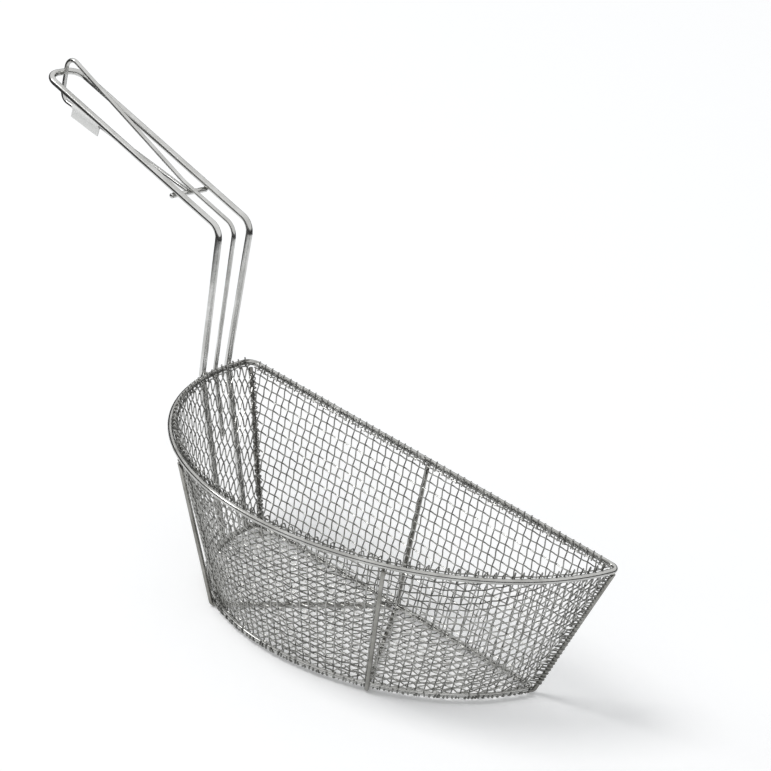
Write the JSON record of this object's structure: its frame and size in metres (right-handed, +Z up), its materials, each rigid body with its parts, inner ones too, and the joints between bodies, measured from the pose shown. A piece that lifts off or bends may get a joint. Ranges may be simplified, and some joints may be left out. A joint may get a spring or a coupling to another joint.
{
  "type": "deep fryer basket",
  "caption": "Half-round tapered wire mesh basket on a bent wire frame, with a tall looped wire handle, for lowering food into a round fryer kettle.",
  "frame": {"origin": "on the vertical axis of the round kettle that the basket half fills, at the level of the surface it stands on", "axes": "+Z up, +Y out through the flat wall, -X along the handle"},
  "size_m": [0.5574, 0.1817, 0.276],
  "materials": {
    "plated_wire": "bright nickel-plated steel wire",
    "plated_mesh": "nickel-plated woven steel mesh",
    "label_film": "plain white plastic film"
  },
  "bodies": {
    "root": {"rim_wire": "plated_wire", "base_hoop": "plated_wire", "front_post": "plated_wire", "back_post": "plated_wire", "front_cradle_wire": "plated_wire", "side_cradle_wire": "plated_wire", "flat_wall_mesh": "plated_mesh", "round_wall_mesh": "plated_mesh", "base_mesh": "plated_mesh", "flat_rim_hem": "plated_mesh", "round_rim_hem": "plated_mesh", "handle_outer_wire": "plated_wire", "handle_inner_wire": "plated_wire", "handle_crossbar": "plated_wire", "handle_label": "label_film"}
  },
  "joints": []
}
